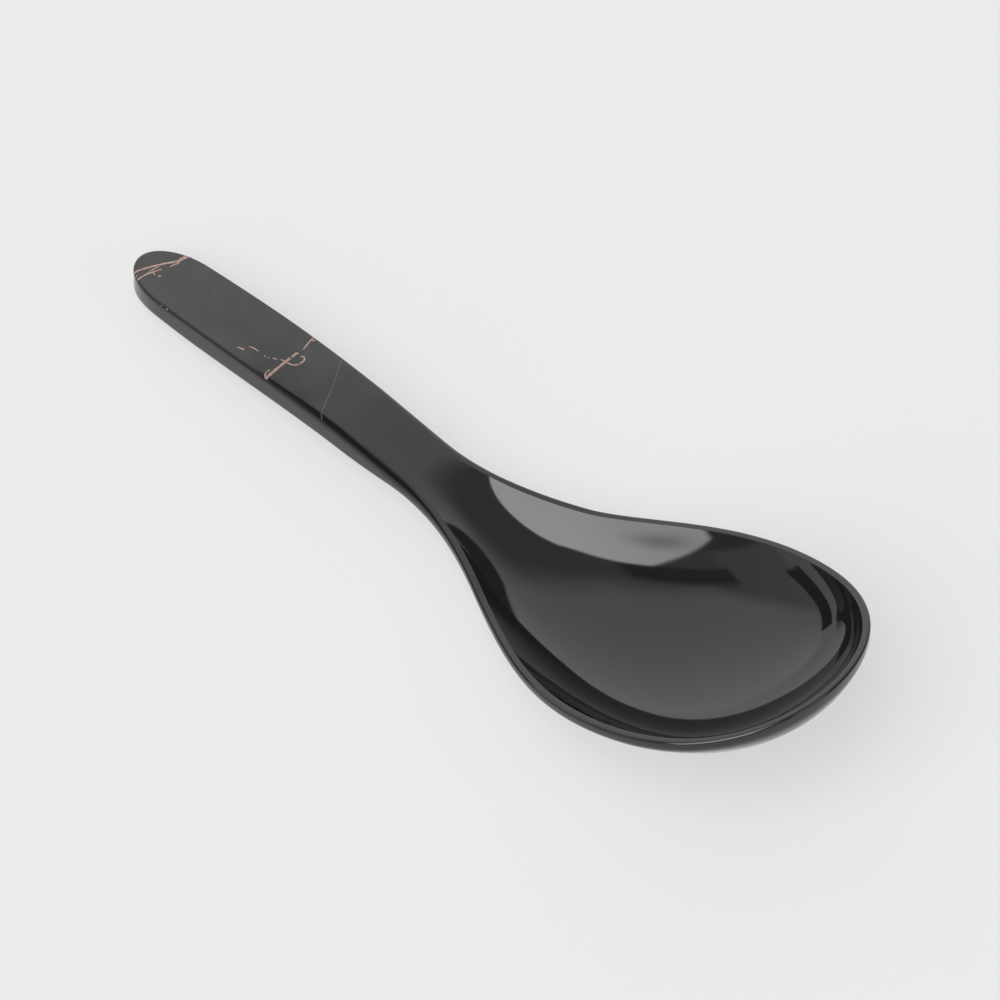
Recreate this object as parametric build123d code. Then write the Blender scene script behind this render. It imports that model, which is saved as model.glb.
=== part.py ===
from build123d import *
import os
from math import radians, sin

# A one-piece moulded serving spoon with a printed foil on its handle, lying
# as it rests on a table, on the flat under its bowl and its handle tip.
# +X runs from the handle tip to the bowl tip, +Y is across, +Z is up.
# The finished spoon's origin is on the table, under the middle of its box.
# The curves below start at the handle tip's top face instead, and place()
# moves every piece to the origin. All dimensions are in millimetres.

# ---- driving dimensions ---------------------------------------------------
LENGTH = 230.0          # handle tip to bowl tip
HANDLE_HALF = 8.7       # half the width of the handle at its neck
BOWL_HALF = 36.5        # half the width of the bowl where it is widest
TIP_LENGTH = 15.0       # length of the rounded end of the handle
NECK_X = 95.5           # where the handle starts to widen into the bowl
WIDEST_X = 186.0        # where the bowl is widest
HUMP_X = 73.5           # highest point of the handle
VALLEY_X = 133.0        # lowest point of the rim, behind the bowl
PAD_START_X = 143.0     # the belly's lowest stretch, cut flat where it meets the table
PAD_END_X = 156.0
PAD_CUT = 0.5           # how much the flat takes off the belly
TIP_THICKNESS = 7.0     # handle tip, top face to table
RIM_WIDTH = 1.9         # flat width of the bowl's rim
MOUTH_OVERHANG = 0.15   # how far the hollow's own outline passes the rim's inner edge

# Shape of a rounded section at the tip and the neck, along the handle, behind
# the bowl's middle and in front of it: how far the bottom stays full width, how
# much the side leans in where it starts, and how far down that lean reaches.
# Then the overhang: how far the belly's own outline passes the rim's, in
# millimetres. The handle is close to a flat bar with nearly square sides.
NECK_SHAPE = (0.82, 0.0, 0.82)
HANDLE_SHAPE = (0.97, 0.0, 0.97)
BACK_HOLLOW_SHAPE = (0.36, 0.32, 0.73)
FRONT_HOLLOW_SHAPE = (0.50, 0.08, 0.60)
BACK_BELLY_SHAPE = (0.36, 0.34, 0.60)
FRONT_BELLY_SHAPE = (0.44, 0.26, 0.60)
BELLY_SHAPES = (NECK_SHAPE, HANDLE_SHAPE, BACK_BELLY_SHAPE, FRONT_BELLY_SHAPE)
HOLLOW_SHAPES = (BACK_HOLLOW_SHAPE, BACK_HOLLOW_SHAPE, BACK_HOLLOW_SHAPE, FRONT_HOLLOW_SHAPE)
NECK_OVERHANG = 0.5
HANDLE_OVERHANG = 1.5
BACK_OVERHANG = 1.4
FRONT_OVERHANG = 1.2
BELLY_END = 231.2       # where the belly's own curve would end, past the lip
BAR_START_X = 25.0      # the handle is a full bar from here
BAR_END_X = 80.0        # to here,
BACK_X = 150.0          # the sections change shape from the neck to here,
CHANGE_X = 160.0        # and again from here
FRONT_X = 205.0         # to here

FOIL_THICKNESS = 0.3    # printed foil, set flush into the handle's top face
FOIL_MARGIN = 0.3       # plain moulding left round the foil
INK_THICKNESS = 0.1     # printed veins, let into the foil's face

MARGIN = 10.0           # how far the cutting shapes pass the spoon
TALL = 80.0             # height of the upright cutting shapes


# ---- the curves that the whole spoon is drawn from --------------------------
# Each is a chain of cubic curves, each curve given by its four control points.
def outline_curves():
    """Half outline seen from above: x along the spoon, y across it."""
    return [
        [(0, 0), (0, 4.8), (7, 8.15), (TIP_LENGTH, 8.4)],
        [(TIP_LENGTH, 8.4), (47, 9.4), (67.5, HANDLE_HALF), (NECK_X, HANDLE_HALF)],
        [(NECK_X, HANDLE_HALF), (130, HANDLE_HALF), (149, BOWL_HALF), (WIDEST_X, BOWL_HALF)],
        [(WIDEST_X, BOWL_HALF), (226, BOWL_HALF), (LENGTH, 9), (LENGTH, 0)],
    ]


def top_curves():
    """Height of the handle's top face and of the rim."""
    return [
        [(0, 0), (25, 3.0), (58, 6.5), (HUMP_X, 6.5)],
        [(HUMP_X, 6.5), (81, 6.5), (124, 3.3), (VALLEY_X, 3.3)],
        [(VALLEY_X, 3.3), (150, 3.3), (215, 29.5), (LENGTH, 35.3)],
    ]


def keel_curves():
    """Lowest line of the underside, along the middle of the spoon."""
    table = -TIP_THICKNESS
    low = table - PAD_CUT
    return [
        [(0, table), (25, -4.4), (55, -0.9), (HUMP_X, -0.9)],
        [(HUMP_X, -0.9), (85, -0.9), (97, -1.0), (108, -2.0)],
        [(108, -2.0), (119, -3.0), (130, low), (PAD_START_X, low)],
        [(PAD_START_X, low), (148, low), (151, low), (PAD_END_X, low)],
        [(PAD_END_X, low), (190, low), (227, 12.0), (BELLY_END, 35.3)],
    ]


def floor_curves():
    """Inner floor of the bowl, along the middle of the spoon."""
    return [
        [(92, 5.75), (114, 4.2), (128, -4.6), (151, -4.6)],
        [(151, -4.6), (187, -4.6), (224, 15.5), (228.3, 34.8)],
    ]


def cubic(points, t):
    """Point of one cubic curve at t, from 0 to 1."""
    weights = ((1 - t) ** 3, 3 * (1 - t) ** 2 * t, 3 * (1 - t) * t ** 2, t ** 3)
    x = sum(weight * point[0] for weight, point in zip(weights, points))
    y = sum(weight * point[1] for weight, point in zip(weights, points))
    return x, y


def value_at(curves, x):
    """Height, or half width, of a chain of curves at x."""
    if x <= curves[0][0][0]:
        return curves[0][0][1]
    if x >= curves[-1][3][0]:
        return curves[-1][3][1]
    curve = next(c for c in curves if x <= c[3][0])
    low, high = 0.0, 1.0
    while high - low > 1e-9:
        middle = (low + high) / 2
        if cubic(curve, middle)[0] < x:
            low = middle
        else:
            high = middle
    return cubic(curve, low)[1]


# ---- the printed veins, seen from above --------------------------------------
# Each stroke is the points of its middle line and its width at each end.
TIP_STROKES = [
    ([(2.6, -6.0), (4.3, -2.0), (6.2, 1.3), (8.4, 4.5)], 0.65, 0.75),
    ([(8.4, 4.3), (8.7, 6.2), (9.4, 8.4)], 1.0, 1.7),
    ([(9.0, 4.5), (8.6, 3.2), (8.3, 2.0)], 0.7, 0.4),
    ([(5.3, -6.3), (5.8, -3.6), (6.6, -1.7), (7.3, 0.1)], 0.65, 0.45),
    ([(5.8, -3.4), (5.8, -1.7), (6.3, 0.3)], 0.45, 0.45),
    ([(4.2, -6.3), (4.3, -5.0)], 0.55, 0.35),
    ([(6.5, -1.9), (7.5, -2.3)], 0.45, 0.35),
]
LOOP_STROKES = [
    ([(51.4, -8.9), (51.2, -5.1), (51.1, -1.3), (51.1, 2.4)], 1.0, 0.75),
    ([(51.0, 2.3), (51.9, 2.1)], 0.55, 0.35),
    ([(51.2, -8.6), (50.2, -7.4), (50.2, -5.9)], 0.55, 0.35),
    ([(51.2, -1.6), (52.8, -1.3), (53.9, -0.4), (54.1, 1.5), (53.3, 2.4), (52.6, 1.9)], 0.55, 0.6),
    ([(49.7, -2.0), (51.3, -1.4)], 0.4, 0.5),
    ([(51.5, 4.0), (50.8, 6.5), (50.5, 8.8)], 0.5, 0.65),
    ([(50.8, 7.2), (51.3, 7.8), (51.6, 8.8)], 0.4, 0.4),
]
FLECK_STROKES = [
    ([(39.1, -6.0), (41.0, -5.4)], 0.35, 0.6),
    ([(41.0, -4.0), (42.4, -3.6), (44.0, -3.6)], 0.35, 0.5),
    ([(45.9, -3.8), (46.3, -3.5)], 0.4, 0.4),
    ([(47.0, -3.5), (47.4, -3.3)], 0.35, 0.35),
    ([(48.0, -2.9), (49.1, -2.4)], 0.35, 0.4),
    ([(8.4, -2.2), (8.8, -1.4)], 0.6, 0.5),
    ([(15.5, -7.9), (15.9, -7.8)], 0.45, 0.45),
    ([(17.3, -7.9), (17.8, -7.8)], 0.6, 0.6),
]
HAIRLINE_STROKES = [
    ([(59.5, 9.2), (61.7, 5.8), (63.9, 2.2), (66.1, -1.8), (68.1, -5.8), (70.2, -9.2)], 0.25, 0.25),
]


# ---- shapes that the pieces are cut from ---------------------------------------
def closed_on_middle(half):
    """Flat face of a symmetric outline, given its half with y above 0."""
    return make_face(half + [edge.mirror(Plane.XZ) for edge in half])


def inset_edges(curves, distance, steps=6):
    """Part of the outline as edges, moved inwards by distance."""
    edges = []
    for curve in curves:
        edge = Edge.make_bezier(*curve)
        points = []
        for step in range(steps + 1):
            along = edge % (step / steps)
            inward = Vector(along.Y, -along.X)
            points.append(edge @ (step / steps) + inward * distance)
        edges.append(Edge.make_spline(points, tangents=[edge % 0, edge % 1]))
    return edges


def outline_face():
    """The whole outline seen from above."""
    return closed_on_middle([Edge.make_bezier(*points) for points in outline_curves()])


def mouth_face():
    """Outline of the bowl's mouth: the bowl's outline, less the rim's width."""
    sides = inset_edges(outline_curves()[2:], RIM_WIDTH)
    corner = sides[0] @ 0
    return closed_on_middle(sides + [Edge.make_line((corner.X, 0), corner)])


def foil_face():
    """Outline of the foil: the handle's outline, less a margin, cut off square."""
    sides = inset_edges(outline_curves()[:2], FOIL_MARGIN)
    corner = sides[-1] @ 1
    return closed_on_middle(sides + [Edge.make_line(corner, (corner.X, 0))])


def stroke_face(points, start_width, end_width):
    """A printed stroke, as a band round its middle line."""
    middle = Edge.make_spline(points)
    left, right = [], []
    steps = max(2, len(points))
    for step in range(steps + 1):
        share = step / steps
        along = middle % share
        reach = Vector(-along.Y, along.X) * (start_width + share * (end_width - start_width)) / 2
        left.append(middle @ share + reach)
        right.append(middle @ share - reach)
    sides = [Edge.make_spline(left), Edge.make_spline(right)]
    ends = [Edge.make_line(left[0], right[0]), Edge.make_line(left[-1], right[-1])]
    return make_face(sides + ends)


def upright(face):
    """Tall solid standing on the table, on a flat outline."""
    return Pos(0, 0, -TIP_THICKNESS) * extrude(face, TALL)


def under_top(drop=0.0):
    """All the space under the top curve, lowered by drop."""
    width = 2 * (BOWL_HALF + MARGIN)
    curves = [[(x, 0, z - drop) for x, z in points] for points in top_curves()]
    line = [Edge.make_bezier(*points) for points in curves]
    start, end = line[0] @ 0, line[-1] @ 1
    slope = line[-1] % 1
    past = end + slope * (MARGIN / slope.X)
    frame = Polyline(
        end, past, (past.X, 0, -TALL / 2), (-MARGIN, 0, -TALL / 2), (-MARGIN, 0, start.Z), start
    )
    side = make_face(line + frame.edges())
    return Pos(0, -width / 2, 0) * extrude(side, width, dir=(0, 1, 0))


def trough_section(x, half, rim, depth, shape):
    """Upright section across the spoon: a rounded belly under a tall box."""
    full, lean, reach = shape
    lid = rim + MARGIN
    right = Edge.make_bezier(
        (x, half, rim), (x, half * (1 - lean), rim - reach * depth),
        (x, full * half, rim - depth), (x, 0, rim - depth),
    )
    box = Polyline((x, half, rim), (x, half, lid), (x, -half, lid), (x, -half, rim))
    return make_face([right, right.mirror(Plane.XZ)] + box.edges())


def blend_at(x, neck, handle, back, front):
    """Mix of the values at the neck, along the handle, behind the bowl's middle and before it."""
    to_bar = max(min(x / BAR_START_X, (NECK_X - x) / (NECK_X - BAR_END_X), 1), 0)
    to_back = min(max((x - NECK_X) / (BACK_X - NECK_X), 0), 1)
    to_front = min(max((x - CHANGE_X) / (FRONT_X - CHANGE_X), 0), 1)
    return neck + to_bar * (handle - neck) + to_back * (back - neck) + to_front * (front - back)


def shape_at(x, shapes):
    """Shape of the section at x."""
    return [blend_at(x, *values) for values in zip(*shapes)]


def half_at(x, end):
    """Half width at x of the outline, its front stretched to reach end."""
    past = max(x - WIDEST_X, 0) * (LENGTH - WIDEST_X) / (end - WIDEST_X)
    return value_at(outline_curves(), max(min(x, WIDEST_X) + past, TIP_LENGTH))


def belly_section(x):
    """Section of the belly at x, a little wider than the outline."""
    overhang = blend_at(x, NECK_OVERHANG, HANDLE_OVERHANG, BACK_OVERHANG, FRONT_OVERHANG)
    half = half_at(x, BELLY_END) * (1 + overhang / BOWL_HALF) + overhang
    rim = value_at(top_curves(), x)
    depth = rim - value_at(keel_curves(), x)
    return trough_section(x, half, rim, depth, shape_at(x, BELLY_SHAPES))


def hollow_section(x):
    """Section of the bowl's hollow at x, a little wider than its mouth."""
    narrower = RIM_WIDTH - MOUTH_OVERHANG
    half = half_at(x, LENGTH - narrower) * (1 - narrower / BOWL_HALF)
    rim = value_at(top_curves(), x)
    depth = rim - value_at(floor_curves(), x)
    return trough_section(x, half, rim, depth, shape_at(x, HOLLOW_SHAPES))


def front_stations(end):
    """Places along the front of the bowl, closer together towards its tip."""
    return [WIDEST_X + (end - WIDEST_X) * sin(radians(angle)) for angle in range(0, 89, 11)]


# ---- the pieces -------------------------------------------------------------------
def blank():
    """The moulding without its hollow: outline, top curve and belly."""
    stations = [-MARGIN, 0, 12, BAR_START_X, 40, 56, HUMP_X, BAR_END_X, 88, NECK_X]
    stations += [104, 112, 120, 128, 136]
    stations += [PAD_START_X, 149.5, PAD_END_X, 163, 170, 178]
    stations += front_stations(BELLY_END)
    belly = loft([belly_section(x) for x in stations])
    return upright(outline_face()) & under_top() & belly


def hollow():
    """The space inside the bowl, from the end of the handle's flat top."""
    stations = [92, 98, 104, 110, 116, 122, 128, 134, 140, 146, 152, 160, 168, 177]
    stations += front_stations(LENGTH - RIM_WIDTH + MOUTH_OVERHANG)
    return upright(mouth_face()) & loft([hollow_section(x) for x in stations])


def skin(face, thickness):
    """Layer of the handle's top face, over a flat outline."""
    return upright(face) & (under_top() - under_top(thickness))


def printed(strokes):
    """One group of printed strokes."""
    faces = [stroke_face(*stroke) for stroke in strokes]
    group = faces[0]
    for face in faces[1:]:
        group = group + face
    return skin(group & foil_face(), INK_THICKNESS)


def place(piece):
    """Move a piece from the handle tip to the spoon's origin."""
    return Pos(-LENGTH / 2, 0, TIP_THICKNESS) * piece


def main():
    veins = {
        "tip_veins": printed(TIP_STROKES),
        "loop_vein": printed(LOOP_STROKES),
        "vein_flecks": printed(FLECK_STROKES),
        "hairline_vein": printed(HAIRLINE_STROKES),
    }
    foil_space = skin(foil_face(), FOIL_THICKNESS)
    foil = foil_space
    for vein in veins.values():
        foil = foil - vein
    pieces = {"spoon_body": blank() - hollow() - foil_space, "decal_foil": foil, **veins}
    os.makedirs("parts", exist_ok=True)
    for name, piece in pieces.items():
        export_step(place(piece), f"parts/{name}.step")
        print(name, len(piece.solids()), "solids", round(piece.volume, 2), "mm3")


main()
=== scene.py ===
import math

import bmesh
import bpy
import numpy as np
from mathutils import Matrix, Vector
from mathutils.bvhtree import BVHTree


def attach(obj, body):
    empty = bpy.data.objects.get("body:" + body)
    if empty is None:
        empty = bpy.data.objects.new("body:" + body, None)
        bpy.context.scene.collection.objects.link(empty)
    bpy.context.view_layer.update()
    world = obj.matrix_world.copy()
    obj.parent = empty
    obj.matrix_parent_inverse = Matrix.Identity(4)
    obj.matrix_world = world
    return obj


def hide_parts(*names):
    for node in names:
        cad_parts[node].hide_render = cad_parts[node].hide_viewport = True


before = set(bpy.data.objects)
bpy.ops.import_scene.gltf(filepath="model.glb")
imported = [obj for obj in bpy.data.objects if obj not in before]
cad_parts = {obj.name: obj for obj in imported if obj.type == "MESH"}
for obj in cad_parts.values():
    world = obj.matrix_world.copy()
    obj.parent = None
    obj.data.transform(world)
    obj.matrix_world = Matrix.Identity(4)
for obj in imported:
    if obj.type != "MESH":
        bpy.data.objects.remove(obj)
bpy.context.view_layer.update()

# The spoon is drawn from the same curves as the CAD part: x from the handle
# tip, z from the tip's top face, in millimetres. to_row() turns them into
# the row frame, in metres.
MM = 0.001
LENGTH = 230.0
HANDLE_HALF = 8.7
BOWL_HALF = 36.5
TIP_LENGTH = 15.0
NECK_X = 95.5
WIDEST_X = 186.0
HUMP_X = 73.5
VALLEY_X = 133.0
PAD_START_X = 143.0
PAD_END_X = 156.0
PAD_CUT = 0.5
TABLE = -7.0            # the table, under the handle tip's top face
RIM_WIDTH = 1.9
BELLY_END = 231.2
BACK_X = 150.0
CHANGE_X = 160.0
FRONT_X = 205.0
BAR_START_X = 25.0
BAR_END_X = 80.0
# Shape of a rounded section at the tip and the neck, along the handle, behind the
# bowl's middle and in front of it: how full, how far its side leans in, how far
# down that reaches.
NECK_SHAPE = (0.82, 0.0, 0.82)
HANDLE_SHAPE = (0.97, 0.0, 0.97)
BACK_HOLLOW_SHAPE = (0.36, 0.32, 0.73)
FRONT_HOLLOW_SHAPE = (0.50, 0.08, 0.60)
BACK_BELLY_SHAPE = (0.36, 0.34, 0.60)
FRONT_BELLY_SHAPE = (0.44, 0.26, 0.60)
BELLY_SHAPES = (NECK_SHAPE, HANDLE_SHAPE, BACK_BELLY_SHAPE, FRONT_BELLY_SHAPE)
HOLLOW_SHAPES = (BACK_HOLLOW_SHAPE, BACK_HOLLOW_SHAPE, BACK_HOLLOW_SHAPE, FRONT_HOLLOW_SHAPE)
OVERHANGS = (0.5, 1.5, 1.4, 1.2)     # how far the belly's own outline passes the rim's

OUTLINE = [
    [(0, 0), (0, 4.8), (7, 8.15), (TIP_LENGTH, 8.4)],
    [(TIP_LENGTH, 8.4), (47, 9.4), (67.5, HANDLE_HALF), (NECK_X, HANDLE_HALF)],
    [(NECK_X, HANDLE_HALF), (130, HANDLE_HALF), (149, BOWL_HALF), (WIDEST_X, BOWL_HALF)],
    [(WIDEST_X, BOWL_HALF), (226, BOWL_HALF), (LENGTH, 9), (LENGTH, 0)],
]
TOP = [
    [(0, 0), (25, 3.0), (58, 6.5), (HUMP_X, 6.5)],
    [(HUMP_X, 6.5), (81, 6.5), (124, 3.3), (VALLEY_X, 3.3)],
    [(VALLEY_X, 3.3), (150, 3.3), (215, 29.5), (LENGTH, 35.3)],
]
LOWEST = TABLE - PAD_CUT
KEEL = [
    [(0, TABLE), (25, -4.4), (55, -0.9), (HUMP_X, -0.9)],
    [(HUMP_X, -0.9), (85, -0.9), (97, -1.0), (108, -2.0)],
    [(108, -2.0), (119, -3.0), (130, LOWEST), (PAD_START_X, LOWEST)],
    [(PAD_START_X, LOWEST), (148, LOWEST), (151, LOWEST), (PAD_END_X, LOWEST)],
    [(PAD_END_X, LOWEST), (190, LOWEST), (227, 12.0), (BELLY_END, 35.3)],
]
# The hollow's floor ends on the rim's inner edge, where the wall is upright.
MOUTH_END = (LENGTH - RIM_WIDTH, 34.75)
FLOOR = [
    [(92, 5.75), (114, 4.2), (128, -4.6), (151, -4.6)],
    [(151, -4.6), (187, -4.6), (224, 15.5), MOUTH_END],
]


# ---- curves ------------------------------------------------------------------
def chain(curves, steps=1500):
    """Points of a chain of cubic curves, and the direction at each point."""
    t = np.linspace(0, 1, steps)[:, None]
    points, ways = [], []
    for curve in curves:
        a, b, c, d = (np.array(p, float) for p in curve)
        points.append((1 - t) ** 3 * a + 3 * (1 - t) ** 2 * t * b + 3 * (1 - t) * t ** 2 * c + t ** 3 * d)
        ways.append((1 - t) ** 2 * (b - a) + 2 * (1 - t) * t * (c - b) + t ** 2 * (d - c))
    points, ways = np.concatenate(points), np.concatenate(ways)
    return points, ways / np.linalg.norm(ways, axis=1, keepdims=True)


def height_table(curves):
    """A function that gives a chain's height at x, straight on past its ends."""
    points, ways = chain(curves)
    xs, zs = points[:, 0], points[:, 1]
    start, end = ways[0], ways[-1]

    def height(x):
        inside = np.interp(x, xs, zs)
        before = np.minimum(x - xs[0], 0) * start[1] / max(start[0], 1e-3)
        after = np.maximum(x - xs[-1], 0) * end[1] / max(end[0], 1e-3)
        return inside + before + after * (end[0] > 0.2)
    return height


top_at = height_table(TOP)
keel_at = height_table(KEEL)
floor_at = height_table(FLOOR)


def eased(t, reach=0.15):
    """t held between 0 and 1, with both corners eased."""
    return (np.sqrt(t ** 2 + reach ** 2) - np.sqrt((t - 1) ** 2 + reach ** 2) + 1) / 2


def blend_at(x, neck, handle, back, front):
    """Mix of the values at the neck, along the handle, behind the bowl's middle and before it."""
    to_bar = eased(x / BAR_START_X) * eased((NECK_X - x) / (NECK_X - BAR_END_X))
    to_back = eased((x - NECK_X) / (BACK_X - NECK_X))
    to_front = eased((x - CHANGE_X) / (FRONT_X - CHANGE_X))
    return neck + to_bar * (handle - neck) + to_back * (back - neck) + to_front * (front - back)


def shape_at(x, shapes):
    """Shape of the section at x."""
    return [blend_at(x, *values) for values in zip(*shapes)]


def smooth_step(x, start, end):
    t = np.clip((x - start) / (end - start), 0, 1)
    return t * t * (3 - 2 * t)


def soft_max(a, b, reach):
    """The larger of a and b, with the corner between them rounded."""
    return (a + b + np.sqrt((a - b) ** 2 + reach ** 2)) / 2


def section_drop(share, shape):
    """How far a rounded section has dropped, from 0 to 1, where it is share of its full width."""
    full, lean, reach = shape
    low, high = np.zeros_like(share), np.ones_like(share)
    for _ in range(36):
        u = (low + high) / 2
        wide = (1 - u) ** 3 + 3 * (1 - u) ** 2 * u * (1 - lean) + 3 * (1 - u) * u ** 2 * full
        low, high = np.where(wide > share, u, low), np.where(wide > share, high, u)
    u = (low + high) / 2
    return 3 * u * (1 - u) ** 2 * reach + 3 * u ** 2 * (1 - u) + u ** 3


# ---- the outline, cut into even steps -------------------------------------------
OUTLINE_POINTS, OUTLINE_WAYS = chain(OUTLINE)
outline_lengths = np.concatenate(
    [[0], np.cumsum(np.linalg.norm(np.diff(OUTLINE_POINTS, axis=0), axis=1))])
STEPS = 380             # quads along each side of the spoon
stations = np.linspace(0, outline_lengths[-1], STEPS + 1)


def along_outline(values):
    """Values of the fine outline, at the stations."""
    return np.interp(stations, outline_lengths, values)


EDGE = np.stack([along_outline(OUTLINE_POINTS[:, 0]), along_outline(OUTLINE_POINTS[:, 1])], 1)
edge_way = np.stack([along_outline(OUTLINE_WAYS[:, 0]), along_outline(OUTLINE_WAYS[:, 1])], 1)
edge_way /= np.linalg.norm(edge_way, axis=1, keepdims=True)
INWARD = np.stack([edge_way[:, 1], -edge_way[:, 0]], 1)
INWARD[0], INWARD[-1] = (1, 0), (-1, 0)
EDGE[0], EDGE[-1] = (0, 0), (LENGTH, 0)

# Radius of the top edge: small at the tip and on the bowl's rim, larger by the neck.
SHARP_EDGE, NECK_EXTRA = 0.85, 1.25
EDGE_RADIUS = SHARP_EDGE + NECK_EXTRA * (
    smooth_step(EDGE[:, 0], 38, 80) * (1 - smooth_step(EDGE[:, 0], 92, 122)))
HANDLE_INSET = 1.2      # how much further in than the rim the handle's ring lies


def ring_inset(x):
    """How far in from the edge the ring lies that the hollow starts from."""
    return RIM_WIDTH + HANDLE_INSET * (1 - smooth_step(x, 88, 112))


RING_INSET = ring_inset(EDGE[:, 0])
RING = EDGE + INWARD * RING_INSET[:, None]

# Each station's line runs in from a place on the edge to one on the middle line.
EDGE_PLACES = [0, 9, 22, 160, 200, 222, LENGTH]
MIDDLE_PLACES = [5.5, 12, 22, 160, 185, 197, 204]
place_lengths = np.interp(EDGE_PLACES, OUTLINE_POINTS[:, 0], outline_lengths)
place_lengths[-1] = outline_lengths[-1]
SPINE_X = np.interp(stations, place_lengths, MIDDLE_PLACES)

# The same ring, drawn finely, as a table of half widths.
fine_inward = np.stack([OUTLINE_WAYS[:, 1], -OUTLINE_WAYS[:, 0]], 1)
FINE_RING = OUTLINE_POINTS + fine_inward * ring_inset(OUTLINE_POINTS[:, 0])[:, None]


HOLLOW_EASE = 0.12      # rounding where the hollow runs out into the flat handle
PAD_EASE = 0.04         # rounding round the flat that rests on the table


def hollow_at(x, y):
    """Height of the top: the flat handle, then the bowl's hollow, inside the ring."""
    half = np.interp(x, FINE_RING[:, 0], FINE_RING[:, 1])
    share = np.clip(np.abs(y) / np.maximum(half, 1e-6), 0, 1)
    rim = top_at(x)
    depth = soft_max(rim - floor_at(x), 0, HOLLOW_EASE) * smooth_step(x, 84, 97)
    return rim - depth * section_drop(share, shape_at(x, HOLLOW_SHAPES))


def belly_at(x, y):
    """Height of the underside, flat where it rests on the table."""
    past = np.maximum(x - WIDEST_X, 0) * (LENGTH - WIDEST_X) / (BELLY_END - WIDEST_X)
    on_outline = np.maximum(np.minimum(x, WIDEST_X) + past, TIP_LENGTH)
    overhang = blend_at(x, *OVERHANGS)
    half = np.interp(on_outline, OUTLINE_POINTS[:, 0], OUTLINE_POINTS[:, 1])
    half = half * (1 + overhang / BOWL_HALF) + overhang
    rim = top_at(x)
    shape = shape_at(x, BELLY_SHAPES)
    drop = section_drop(np.clip(np.abs(y) / half, 0, 1), shape)
    return soft_max(rim - (rim - keel_at(x)) * drop, TABLE, PAD_EASE)


def to_row(points):
    """Millimetres from the handle tip to metres in the row frame."""
    return (np.asarray(points, float) + (-LENGTH / 2, 0, -TABLE)) * MM


# ---- the body's rings, from the middle of the top, over the edge, to the middle of the underside ----
def ring(xy, z):
    return np.column_stack([xy, z])


def inset(distance):
    return EDGE + INWARD * np.broadcast_to(distance, (STEPS + 1,))[:, None]


def bend(a, b, c, t):
    """Point at t of the curve that leaves a towards b and reaches c."""
    return (1 - t) ** 2 * a + 2 * t * (1 - t) * b + t ** 2 * c


INNER = 46              # rings over the hollow, and again over the belly
CROWD = 1.9             # how strongly they crowd towards the edge
shares = (np.arange(1, INNER) / INNER) ** CROWD
SPINE = np.column_stack([SPINE_X, np.zeros(STEPS + 1)])

top_rings = []
for share in shares[::-1]:
    xy = RING + (SPINE - RING) * share
    top_rings.append(ring(xy, hollow_at(xy[:, 0], xy[:, 1])))

LIP = 0.45              # rounding of the rim's inner edge
first_wall = top_rings[-1]
flat_end = inset(RING_INSET - LIP)
flat_end = ring(flat_end, top_at(flat_end[:, 0]))
corner = ring(RING, top_at(RING[:, 0]))
lip_rings = [bend(first_wall, corner, flat_end, t) for t in (0.2, 0.4, 0.6, 0.8)] + [flat_end]

land_rings = []
for share in (0.33, 0.66):
    xy = inset((RING_INSET - LIP) * (1 - share) + EDGE_RADIUS * share)
    land_rings.append(ring(xy, top_at(xy[:, 0])))

edge_rings = []
for angle in np.radians(np.arange(90, -1, -10)):
    xy = inset(EDGE_RADIUS * (1 - math.cos(angle)))
    edge_rings.append(ring(xy, top_at(xy[:, 0]) - EDGE_RADIUS * (1 - math.sin(angle))))

wall_top = edge_rings[-1][:, 2]
wall_foot = belly_at(EDGE[:, 0], EDGE[:, 1])
# Rounding at the wall's foot: small under the handle, larger under the bowl.
largest_foot = 0.9 + 0.7 * smooth_step(EDGE[:, 0], 85, 120)
foot_reach = np.clip((wall_top - wall_foot) * 0.45, 0, largest_foot)
wall_height = wall_top - wall_foot - foot_reach
wall_rings = [ring(EDGE, wall_top - wall_height * share) for share in (0.25, 0.5, 0.75, 1)]

belly_rings = []
reach_in = SPINE - EDGE
start_share = (foot_reach / np.linalg.norm(reach_in, axis=1))[:, None]
for share in np.concatenate([[0], shares]):
    xy = EDGE + reach_in * (start_share + (1 - start_share) * share)
    belly_rings.append(ring(xy, belly_at(xy[:, 0], xy[:, 1])))
foot = ring(EDGE, wall_foot)
foot_rings = [bend(wall_rings[-1], foot, belly_rings[0], t) for t in (0.17, 0.34, 0.5, 0.66, 0.83)]

RINGS = top_rings + lip_rings + land_rings + edge_rings + wall_rings + foot_rings + belly_rings
FOIL_RINGS = len(top_rings) + len(lip_rings) + len(land_rings) + 2    # it ends as the edge begins


around = 2 * STEPS      # points in a ring right round the spoon


def whole(half):
    """A ring right round the spoon, from its half with y above 0."""
    return np.concatenate([half, half[-2:0:-1] * (1, -1, 1)])


def spine_row(height):
    return np.column_stack([SPINE_X, np.zeros(STEPS + 1), height(SPINE_X, np.zeros(STEPS + 1))])[1:-1]


def make_object(name, points, faces, material):
    mesh = bpy.data.meshes.new(name)
    mesh.from_pydata([tuple(p) for p in points], [], faces)
    work = bmesh.new()
    work.from_mesh(mesh)
    bmesh.ops.recalc_face_normals(work, faces=work.faces)
    work.to_mesh(mesh)
    work.free()
    mesh.shade_smooth()
    mesh.materials.append(material)
    made = bpy.data.objects.new(name, mesh)
    bpy.context.scene.collection.objects.link(made)
    return made


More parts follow.
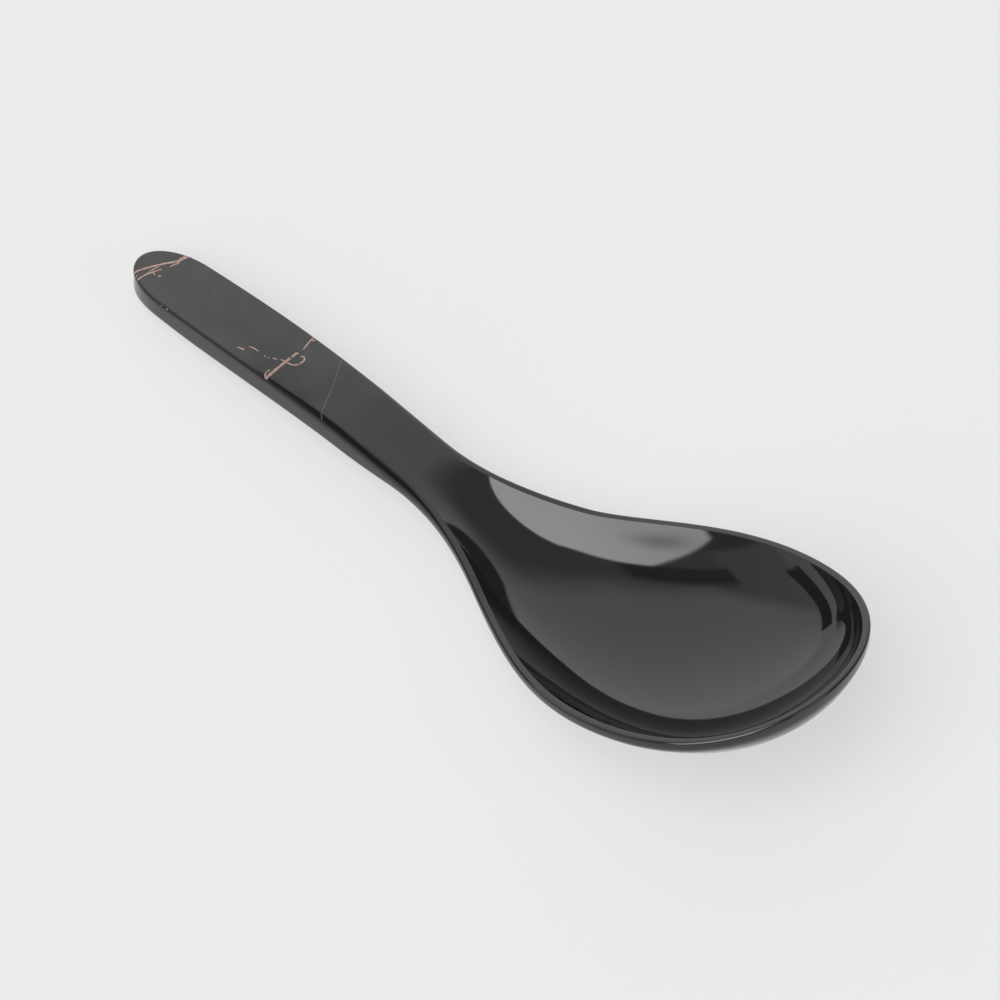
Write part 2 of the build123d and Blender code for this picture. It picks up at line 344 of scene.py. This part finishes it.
def body_mesh():
    """Points and faces of the moulding."""
    loops = [whole(r) for r in RINGS]
    top_spine, low_spine = spine_row(hollow_at), spine_row(belly_at)
    points = np.concatenate(loops + [top_spine, low_spine])
    faces = []
    for k in range(len(loops) - 1):
        for i in range(around):
            j = (i + 1) % around
            faces.append((k * around + i, k * around + j, (k + 1) * around + j, (k + 1) * around + i))
    after_loops = len(loops) * around
    for base, spine in ((0, after_loops), (after_loops - around, after_loops + STEPS - 1)):
        for i in range(1, STEPS - 1):
            faces.append((base + i, base + i + 1, spine + i, spine + i - 1))
            faces.append((base + around - i, base + around - i - 1, spine + i, spine + i - 1))
        faces.append((base, base + 1, spine, base + around - 1))
        faces.append((base + STEPS, base + STEPS - 1, spine + STEPS - 2, base + STEPS + 1))
    return to_row(points), faces


# ---- materials --------------------------------------------------------------------
class Nodes:
    """Short names for the nodes of one material or world."""

    def __init__(self, tree):
        self.tree = tree

    def add(self, kind, **inputs):
        node = self.tree.nodes.new("ShaderNode" + kind)
        for name, value in inputs.items():
            self.feed(node.inputs[name.replace("_", " ")], value)
        return node

    def feed(self, socket, value):
        if isinstance(value, bpy.types.NodeSocket):
            self.tree.links.new(value, socket)
        elif isinstance(value, bpy.types.Node):
            self.tree.links.new(value.outputs[0], socket)
        else:
            socket.default_value = value

    def math(self, operation, *values, clamp=False):
        node = self.tree.nodes.new("ShaderNodeMath")
        node.operation = operation
        node.use_clamp = clamp
        for socket, value in zip(node.inputs, values):
            self.feed(socket, value)
        return node.outputs[0]

    def vector(self, operation, *values):
        node = self.tree.nodes.new("ShaderNodeVectorMath")
        node.operation = operation
        for socket, value in zip(node.inputs, values):
            self.feed(socket, value)
        return node.outputs["Value" if operation in ("DOT_PRODUCT", "LENGTH") else "Vector"]

    def ramp(self, value, from_low, from_high, to_low=0.0, to_high=1.0, smooth=True):
        node = self.tree.nodes.new("ShaderNodeMapRange")
        node.interpolation_type = "SMOOTHSTEP" if smooth else "LINEAR"
        for socket, given in zip(node.inputs, (value, from_low, from_high, to_low, to_high)):
            self.feed(socket, given)
        return node.outputs[0]

    def mix(self, factor, a, b):
        """Mix of two numbers."""
        return self.math("ADD", self.math("MULTIPLY", self.math("SUBTRACT", 1.0, factor), a),
                         self.math("MULTIPLY", factor, b))

    def total(self, first, *values):
        for value in values:
            first = self.math("ADD", first, value)
        return first

    def product(self, first, *values):
        for value in values:
            first = self.math("MULTIPLY", first, value)
        return first

    def line(self, value, slope, base):
        """slope times value, plus base."""
        return self.math("MULTIPLY_ADD", value, slope, base)

    def separate_x(self, place):
        return self.add("SeparateXYZ", Vector=place).outputs["X"]


def new_material(name):
    """A material, its node maker, its shader and a point's place in the row frame."""
    made = bpy.data.materials.new(name)
    made.use_nodes = True
    nodes = Nodes(made.node_tree)
    place = nodes.add("TexCoord").outputs["Object"]
    return made, nodes, made.node_tree.nodes["Principled BSDF"], place


def noise(nodes, place, size, detail=3.0, roughness=0.5, distortion=0.0, stretch=None):
    """Noise with features about that many millimetres across, from 0 to 1."""
    if stretch:
        place = nodes.add("Mapping", Vector=place, Scale=stretch)
    return nodes.add("TexNoise", Vector=place, Scale=1 / (size * MM), Detail=detail,
                     Roughness=roughness, Distortion=distortion).outputs["Fac"]


def bump(nodes, shader, *layers):
    """Stack bump layers, each (height, how tall it is in millimetres)."""
    normal = None
    for height, tall in layers:
        node = nodes.add("Bump", Height=height, Distance=tall * MM, Strength=1.0)
        if normal:
            nodes.feed(node.inputs["Normal"], normal)
        normal = node.outputs["Normal"]
    nodes.feed(shader.inputs["Normal"], normal)


def grey_between(nodes, factor, low, high):
    mix = nodes.tree.nodes.new("ShaderNodeMix")
    mix.data_type = "RGBA"
    nodes.feed(mix.inputs[0], factor)
    mix.inputs[6].default_value, mix.inputs[7].default_value = (*low, 1), (*high, 1)
    return mix.outputs[2]


SATIN_ROUGHNESS = 0.36
POLISHED_ROUGHNESS = 0.03
IOR = 1.5


def satin_share(nodes, along):
    """How satin the handle's top is, from 1 on the handle to 0 where the bowl begins."""
    return nodes.ramp(along, -0.046, -0.002, 1.0, 0.0)


def melamine():
    """Black moulded melamine: polished, but satin on the handle's top, with fine wear."""
    made, n, shader, place = new_material("gloss_melamine")
    facing = n.add("SeparateXYZ", Vector=n.add("NewGeometry").outputs["Normal"]).outputs["Z"]
    satin = n.product(satin_share(n, n.separate_x(place)), n.ramp(facing, 0.93, 0.985))
    cloud = noise(n, place, 22, detail=2)
    haze = noise(n, place, 3.5, detail=4)
    grain = noise(n, place, 0.35, detail=2)
    along = noise(n, place, 1.6, detail=5, roughness=0.7, stretch=(0.12, 1.0, 1.0))
    crossing = noise(n, place, 2.2, detail=5, roughness=0.7, stretch=(1.0, 0.10, 1.0))
    scratches = n.ramp(along, 0.60, 0.72)
    wear = n.math("MAXIMUM", scratches, n.ramp(crossing, 0.62, 0.74))
    polished = n.total(POLISHED_ROUGHNESS, n.product(cloud, 0.02), n.product(haze, 0.02),
                       n.product(wear, 0.04))
    satiny = n.line(haze, 0.10, SATIN_ROUGHNESS - 0.05)
    n.feed(shader.inputs["Roughness"], n.mix(satin, polished, satiny))
    black_tone = grey_between(n, cloud, (0.0045, 0.0045, 0.0047), (0.0075, 0.0075, 0.0078))
    n.feed(shader.inputs["Base Color"], black_tone)
    shader.inputs["IOR"].default_value = IOR
    bump(n, shader, (cloud, 0.010), (n.product(grain, satin), 0.004), (scratches, 0.0006))
    return made


def printed_film():
    """The satin foil: a dark stone print with faint clouds, and a painted sheen that lightens it towards
    the tip.
    """
    made, n, shader, place = new_material("satin_foil")
    along = n.separate_x(place)
    cloud = noise(n, place, 16, detail=6, roughness=0.6, distortion=0.6)
    patch = noise(n, place, 5, detail=4)
    grain = noise(n, place, 0.35, detail=2)
    stone = n.total(n.product(n.ramp(cloud, 0.35, 0.72), 0.7), n.product(patch, 0.3))
    # Painted sheen: the colour grows lighter towards the tip, standing in for the satin top's brighter
    # reflection there.
    painted_tip_sheen = n.ramp(along, -0.110, -0.035, 1.0, 0.0, smooth=False)
    tone = n.total(n.product(stone, 0.5), n.product(painted_tip_sheen, 0.32))
    tone = n.product(tone, n.ramp(along, -0.055, -0.020, 1.0, 0.0))
    stone_and_sheen_tone = grey_between(n, tone, (0.006, 0.006, 0.0062), (0.032, 0.0315, 0.032))
    n.feed(shader.inputs["Base Color"], stone_and_sheen_tone)
    satiny = n.line(n.total(patch, tone), 0.07, SATIN_ROUGHNESS - 0.06)
    n.feed(shader.inputs["Roughness"], n.mix(satin_share(n, along), POLISHED_ROUGHNESS + 0.02, satiny))
    shader.inputs["IOR"].default_value = IOR
    bump(n, shader, (patch, 0.004), (grain, 0.004))
    return made


def ink(name, low, high, metallic, roughness):
    """Printed ink, a little uneven in colour and gloss."""
    made, n, shader, place = new_material(name)
    tone = noise(n, place, 1.1, detail=4)
    speck = noise(n, place, 0.18, detail=2)
    n.feed(shader.inputs["Base Color"], grey_between(n, tone, low, high))
    n.feed(shader.inputs["Roughness"], n.line(speck, 0.12, roughness - 0.05))
    shader.inputs["Metallic"].default_value = metallic
    bump(n, shader, (speck, 0.006))
    return made


black = melamine()
satin = printed_film()
gold = ink("rose_gold_ink", (0.15, 0.095, 0.078), (0.36, 0.25, 0.215), 0.35, 0.45)
pale = ink("pale_ink", (0.03, 0.03, 0.03), (0.09, 0.09, 0.09), 0.0, 0.5)

points, faces = body_mesh()
body = make_object("spoon_body_surface", points, faces, black)
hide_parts("spoon_body")
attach(body, "root")

# ---- the foil: a thin film over the handle's top, out to where its edge rounds off ----
FILM = 0.03 * MM
normals = np.zeros(len(body.data.vertices) * 3)
body.data.vertices.foreach_get("normal", normals)
normals = normals.reshape(-1, 3)
last = int(np.searchsorted(EDGE[:, 0], NECK_X))


def foil_mesh():
    """The same points as the body's, out along its own normals."""
    keep = {}
    order = []

    def vertex(index):
        if index not in keep:
            keep[index] = len(order)
            order.append(index)
        return keep[index]

    spine = len(RINGS) * around
    faces = []
    columns = list(range(-last, last))
    for k in range(FOIL_RINGS - 1):
        for i in columns:
            a, b = i % around, (i + 1) % around
            faces.append([k * around + a, k * around + b, (k + 1) * around + b, (k + 1) * around + a])
    for i in range(1, last):
        faces.append([i, i + 1, spine + i, spine + i - 1])
        faces.append([around - i, around - i - 1, spine + i, spine + i - 1])
    faces.append([0, 1, spine, around - 1])
    faces = [[vertex(v) for v in face] for face in faces]
    order = np.array(order)
    return points[order] + normals[order] * FILM, faces


foil_points, foil_faces = foil_mesh()
foil = make_object("decal_foil_surface", foil_points, foil_faces, satin)
up = sum(p.normal.z for p in foil.data.polygons)
if up < 0:
    foil.data.flip_normals()
thick = foil.modifiers.new("thickness", "SOLIDIFY")
thick.thickness = 2 * FILM
thick.offset = -1
foil.data = bpy.data.meshes.new_from_object(foil.evaluated_get(bpy.context.evaluated_depsgraph_get()))
foil.modifiers.clear()
foil.data.set_sharp_from_angle(angle=math.radians(40))
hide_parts("decal_foil")
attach(foil, "root")

# ---- the printed veins ----------------------------------------------------------------
# Each stroke's middle line and width at each end, in millimetres from above, as
# in part.py but for two flecks, which lie 0.6 mm further out here. The points
# were picked on the photo by eye, turned into millimetres by a scratch program
# and then rounded, with some left out.
TIP_STROKES = [
    ([(2.6, -6.0), (4.3, -2.0), (6.2, 1.3), (8.4, 4.5)], 0.65, 0.75),
    ([(8.4, 4.3), (8.7, 6.2), (9.4, 8.4)], 1.0, 1.7),
    ([(9.0, 4.5), (8.6, 3.2), (8.3, 2.0)], 0.7, 0.4),
    ([(5.3, -6.3), (5.8, -3.6), (6.6, -1.7), (7.3, 0.1)], 0.65, 0.45),
    ([(5.8, -3.4), (5.8, -1.7), (6.3, 0.3)], 0.45, 0.45),
    ([(4.2, -6.3), (4.3, -5.0)], 0.55, 0.35),
    ([(6.5, -1.9), (7.5, -2.3)], 0.45, 0.35),
]
LOOP_STROKES = [
    ([(51.4, -8.9), (51.2, -5.1), (51.1, -1.3), (51.1, 2.4)], 1.0, 0.75),
    ([(51.0, 2.3), (51.9, 2.1)], 0.55, 0.35),
    ([(51.2, -8.6), (50.2, -7.4), (50.2, -5.9)], 0.55, 0.35),
    ([(51.2, -1.6), (52.8, -1.3), (53.9, -0.4), (54.1, 1.5), (53.3, 2.4), (52.6, 1.9)], 0.55, 0.6),
    ([(49.7, -2.0), (51.3, -1.4)], 0.4, 0.5),
    ([(51.5, 4.0), (50.8, 6.5), (50.5, 8.8)], 0.5, 0.65),
    ([(50.8, 7.2), (51.3, 7.8), (51.6, 8.8)], 0.4, 0.4),
]
FLECK_STROKES = [
    ([(39.1, -6.0), (41.0, -5.4)], 0.35, 0.6),
    ([(41.0, -4.0), (42.4, -3.6), (44.0, -3.6)], 0.35, 0.5),
    ([(45.9, -3.8), (46.3, -3.5)], 0.4, 0.4),
    ([(47.0, -3.5), (47.4, -3.3)], 0.35, 0.35),
    ([(48.0, -2.9), (49.1, -2.4)], 0.35, 0.4),
    ([(8.4, -2.2), (8.8, -1.4)], 0.6, 0.5),
    ([(15.5, -8.5), (15.9, -8.4)], 0.45, 0.45),
    ([(17.3, -8.5), (17.8, -8.4)], 0.6, 0.6),
]
HAIRLINE_STROKES = [
    ([(59.5, 9.2), (61.7, 5.8), (63.9, 2.2), (66.1, -1.8), (68.1, -5.8), (70.2, -9.2)], 0.25, 0.25),
]
INK = 0.03 * MM         # how far the ink stands proud of the foil
surface = BVHTree.FromPolygons([Vector(p) for p in points], faces)


def through(knots, step):
    """Even points of a smooth line through the knots."""
    knots = np.array(knots, float)
    before, after = 2 * knots[0] - knots[1], 2 * knots[-1] - knots[-2]
    k = np.concatenate([[before], knots, [after]])
    line = []
    for i in range(1, len(k) - 2):
        t = np.linspace(0, 1, 40, endpoint=False)[:, None]
        line.append(0.5 * (2 * k[i] + (k[i + 1] - k[i - 1]) * t
                           + (2 * k[i - 1] - 5 * k[i] + 4 * k[i + 1] - k[i + 2]) * t ** 2
                           + (3 * k[i] - k[i - 1] - 3 * k[i + 1] + k[i + 2]) * t ** 3))
    line = np.concatenate(line + [knots[-1:]])
    run = np.concatenate([[0], np.cumsum(np.linalg.norm(np.diff(line, axis=0), axis=1))])
    count = max(4, int(run[-1] / step))
    at = np.linspace(0, run[-1], count + 1)
    return np.stack([np.interp(at, run, line[:, 0]), np.interp(at, run, line[:, 1])], 1)


def settle(x, y, lift):
    """The place on the spoon's top nearest to a point of the plan, lift above it."""
    start = Vector(to_row([x, y, float(top_at(x)) + 0.02]))
    place, normal, _, _ = surface.find_nearest(start)
    return place + normal * lift


ACROSS = 4              # quads across a stroke
ROW_STEP = 0.18         # and how far apart its rows are, in millimetres
VEIN_WIDTH = 0.78       # the ink's edges fade, so it shows a little narrower than it is drawn


def stroke_mesh(knots, start_width, end_width, seed, lift):
    """A thin band of ink, with an uneven width and rounded ends."""
    line = through(knots, ROW_STEP)
    way = np.gradient(line, axis=0)
    way /= np.linalg.norm(way, axis=1, keepdims=True)
    side = np.stack([-way[:, 1], way[:, 0]], 1)
    rows = len(line)
    run = np.linspace(0, 1, rows)
    widths = start_width + (end_width - start_width) * run
    waves = ((0.53, 1.7), (1.13, 2.9), (1.91, 4.1))
    wander = sum(np.sin(run * rows * pace + seed * shift) for pace, shift in waves)
    widths = VEIN_WIDTH * widths * (1 + 0.10 * wander)
    taper = np.sqrt(np.clip(np.minimum(run, 1 - run) * rows * ROW_STEP / (widths / 2), 0, 1))
    widths = widths * (0.35 + 0.65 * taper)
    top, low = [], []
    for row in range(rows):
        for column in range(ACROSS + 1):
            x, y = line[row] + side[row] * widths[row] * (column / ACROSS - 0.5)
            edge = column in (0, ACROSS) or row in (0, rows - 1)
            top.append(settle(x, y, FILM + lift * (0.4 if edge else 1.0)))
            low.append(settle(x, y, 0.0))
    count = ACROSS + 1
    faces = []
    for row in range(rows - 1):
        for column in range(ACROSS):
            a = row * count + column
            quad = (a, a + 1, a + count + 1, a + count)
            faces.append(quad)
            faces.append(tuple(v + rows * count for v in reversed(quad)))
    rim = [column for column in range(ACROSS)]
    rim += [row * count + ACROSS for row in range(rows - 1)]
    rim += [(rows - 1) * count + column for column in range(ACROSS, 0, -1)]
    rim += [row * count for row in range(rows - 1, 0, -1)]
    for a, b in zip(rim, rim[1:] + rim[:1]):
        faces.append((b, a, a + rows * count, b + rows * count))
    return top + low, faces


def vein(name, node, strokes, finish, lift=INK):
    """One piece from a group of strokes, each laid a little higher than the last."""
    all_points, all_faces = [], []
    for number, (knots, start_width, end_width) in enumerate(strokes):
        stroke_points, stroke_faces = stroke_mesh(
            knots, start_width, end_width, number + 1, lift * (1 + 0.12 * number))
        base = len(all_points)
        all_points += stroke_points
        all_faces += [tuple(v + base for v in face) for face in stroke_faces]
    made = make_object(name, all_points, all_faces, finish)
    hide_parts(node)
    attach(made, "root")
    return made


vein("tip_veins_ink", "tip_veins", TIP_STROKES, gold)
vein("loop_vein_ink", "loop_vein", LOOP_STROKES, gold)
vein("vein_flecks_ink", "vein_flecks", FLECK_STROKES, gold)
vein("hairline_vein_ink", "hairline_vein", HAIRLINE_STROKES, pale)

# ---- the camera --------------------------------------------------------------------------
AZIMUTH, ELEVATION = math.radians(45), math.radians(51)
LENS, SENSOR = 1200.0, 36.0     # a long lens: the photo shows almost no perspective
FRAME_WIDTH = 0.2374            # what the picture is wide, at the spoon
AIM_RIGHT, AIM_UP = 0.00468, 0.00908    # where the picture's middle is, from the spoon's origin
right = Vector((math.cos(AZIMUTH), math.sin(AZIMUTH), 0))
far = Vector((-math.sin(AZIMUTH), math.cos(AZIMUTH), 0))
above = Vector((0, 0, 1))
up = far * math.sin(ELEVATION) + above * math.cos(ELEVATION)
back = right.cross(up)
camera = bpy.data.cameras.new("camera")
camera.lens, camera.sensor_width = LENS, SENSOR
camera.clip_start, camera.clip_end = 1.0, 60.0
eye = bpy.data.objects.new("camera", camera)
eye.location = right * AIM_RIGHT + up * AIM_UP + back * (FRAME_WIDTH * LENS / SENSOR)
eye.rotation_mode = "QUATERNION"
eye.rotation_quaternion = back.to_track_quat("Z", "Y")
bpy.context.scene.collection.objects.link(eye)
bpy.context.scene.camera = eye


# ---- floor and flag ------------------------------------------------------------------------
def matte(name, tone, glow=0.0):
    """A plain matt material, which may glow a little."""
    made = bpy.data.materials.new(name)
    made.use_nodes = True
    shader = made.node_tree.nodes["Principled BSDF"]
    shader.inputs["Base Color"].default_value = (tone, tone, tone, 1)
    shader.inputs["Roughness"].default_value = 0.95
    shader.inputs["Specular IOR Level"].default_value = 0.0
    shader.inputs["Emission Color"].default_value = (1, 1, 1, 1)
    shader.inputs["Emission Strength"].default_value = glow
    return made


def card(name, centre, along, across, material):
    """A flat rectangle that isn't part of the spoon, given its two half sides."""
    mesh = bpy.data.meshes.new(name)
    corners = ((-1, -1), (1, -1), (1, 1), (-1, 1))
    mesh.from_pydata([tuple(centre + along * a + across * b) for a, b in corners], [], [(0, 1, 2, 3)])
    mesh.materials.append(material)
    made = bpy.data.objects.new(name, mesh)
    bpy.context.scene.collection.objects.link(made)
    return made


FLOOR_REACH = 6.0
card("floor", Vector((0, 0, 0)), Vector((FLOOR_REACH, 0, 0)), Vector((0, FLOOR_REACH, 0)),
     matte("pale_paper", 0.15, glow=0.55))

# A small black flag beside the handle keeps the key panel out of the handle's
# near edge. Only reflections see it.
FLAG_LONG, FLAG_TALL, FLAG_AWAY = 0.080, 0.022, 0.024
handle_edge = Vector((-0.030, -HANDLE_HALF * MM, 0.0135))
toward_flag = Vector((-0.46, -0.62, 0.63)).normalized()
flag_up = (above - toward_flag * toward_flag.z).normalized()
flag_along = flag_up.cross(toward_flag)
flag = card("black_flag", handle_edge + toward_flag * FLAG_AWAY, flag_along * (FLAG_LONG / 2),
            flag_up * (FLAG_TALL / 2), matte("black_felt", 0.003))
flag.visible_camera = flag.visible_diffuse = flag.visible_shadow = False

# ---- studio light ---------------------------------------------------------------------------
# The room, by direction: degrees from straight up, along the picture's own
# right and away from the camera. Levels are the room's brightness there. Both
# were fitted, for this one view, to the photo's brightness as this spoon's own
# surfaces would reflect it. The narrow panel and the horizon are guesses.
world = bpy.data.worlds.new("studio")
bpy.context.scene.world = world
world.use_nodes = True
n = Nodes(world.node_tree)
direction = n.add("TexCoord").outputs["Generated"]
to_right = n.vector("DOT_PRODUCT", direction, right)
to_far = n.vector("DOT_PRODUCT", direction, far)
from_up = n.math("DEGREES", n.math("ARCCOSINE", n.vector("DOT_PRODUCT", direction, above)))
flat = n.math("SQRT", n.total(n.product(to_right, to_right), n.product(to_far, to_far)))
flat = n.math("MAXIMUM", flat, 1e-4)
across = n.product(from_up, n.math("DIVIDE", to_right, flat))
away = n.product(from_up, n.math("DIVIDE", to_far, flat))

# A pale backdrop far off. Its lower edge runs down to the left, then up again.
rise = n.math("MAXIMUM", n.line(across, 0.55, 21.0), n.line(across, 0.2, 15.5))
rise = n.math("MAXIMUM", rise, n.line(across, -0.95, -39.5))
far_level = n.product(n.ramp(across, -85, -50, 0.88, 1.22), n.ramp(away, 60, 92, 1.0, 0.84))
near_level = n.ramp(across, -62, -52, 0.62, 0.37)
level = n.mix(n.ramp(n.math("SUBTRACT", away, rise), -9, 10), near_level, far_level)

# Dark on the right, dim on the camera's side, and a black gap above the key panel.
DARK_RIGHT, BLACK_GAP = 0.09, 0.055
level = n.mix(n.ramp(across, 37, 40), level, DARK_RIGHT)
level = n.mix(n.ramp(away, -14, -18), level, n.ramp(away, -30, -50, 0.2, 0.42))
gap = n.product(n.ramp(across, -60, -57), n.ramp(across, -24, -31),
                n.ramp(away, 7, 1), n.ramp(away, -7.5, -5.0))
level = n.mix(gap, level, BLACK_GAP)

# The key light's panel: its slanting left edge, its other edges, and a dimmer spot in it.
KEY_SPOT, STRIP, HORIZON = 3.0, 3.5, 0.86
key_edge = n.math("MAXIMUM", n.line(away, 1.4, -30.0), -61.0)
key_left = n.ramp(n.math("SUBTRACT", across, key_edge), -1.5, 1.5)
key_top = n.ramp(n.math("SUBTRACT", away, n.line(across, 0.04, -4.6)), 1.2, -1.2)
key_panel = n.product(key_left, key_top, n.ramp(away, -66, -61), n.ramp(across, 8, 2))
spot_across, spot_away = n.line(across, 0.6, 28.2), n.math("ADD", away, 22)
off_spot = n.math("SQRT", n.total(n.product(spot_across, spot_across), n.product(spot_away, spot_away)))
key_level = n.mix(n.ramp(off_spot, 0, 8), KEY_SPOT, n.ramp(across, -60, -15, 4.9, 6.1))
level = n.mix(key_panel, level, key_level)

# A narrow panel low on the right, and a pale horizon all round.
strip = n.product(n.ramp(across, 44, 47), n.ramp(across, 64, 61),
                  n.ramp(away, -58, -54), n.ramp(away, -6, -10))
level = n.mix(strip, level, STRIP)
level = n.mix(n.ramp(from_up, 85, 89), level, HORIZON)
n.feed(world.node_tree.nodes["Background"].inputs["Strength"], level)
world.node_tree.nodes["Background"].inputs["Color"].default_value = (1, 1, 1, 1)


def toward(across_degrees, away_degrees):
    """Unit vector to a direction given as the room's are."""
    angle = math.radians(math.hypot(across_degrees, away_degrees))
    turn = math.atan2(away_degrees, across_degrees)
    return (right * math.cos(turn) + far * math.sin(turn)) * math.sin(angle) + above * math.cos(angle)


# A wide soft lamp where the key panel is, for the floor's soft shadow and the
# inks. The glossy surfaces see the panel itself.
LAMP_DISTANCE, LAMP_SIZE, LAMP_WATTS = 1.6, 1.6, 6.0
lamp_data = bpy.data.lights.new("key_softbox", "AREA")
lamp_data.shape, lamp_data.size, lamp_data.size_y = "RECTANGLE", LAMP_SIZE, LAMP_SIZE
lamp_data.energy = LAMP_WATTS
lamp = bpy.data.objects.new("key_softbox", lamp_data)
lamp.location = toward(-18, -30) * LAMP_DISTANCE
lamp.rotation_mode = "QUATERNION"
lamp.rotation_quaternion = lamp.location.normalized().to_track_quat("Z", "Y")
lamp.visible_camera = lamp.visible_glossy = False
bpy.context.scene.collection.objects.link(lamp)

bpy.context.scene.view_settings.view_transform = "Standard"
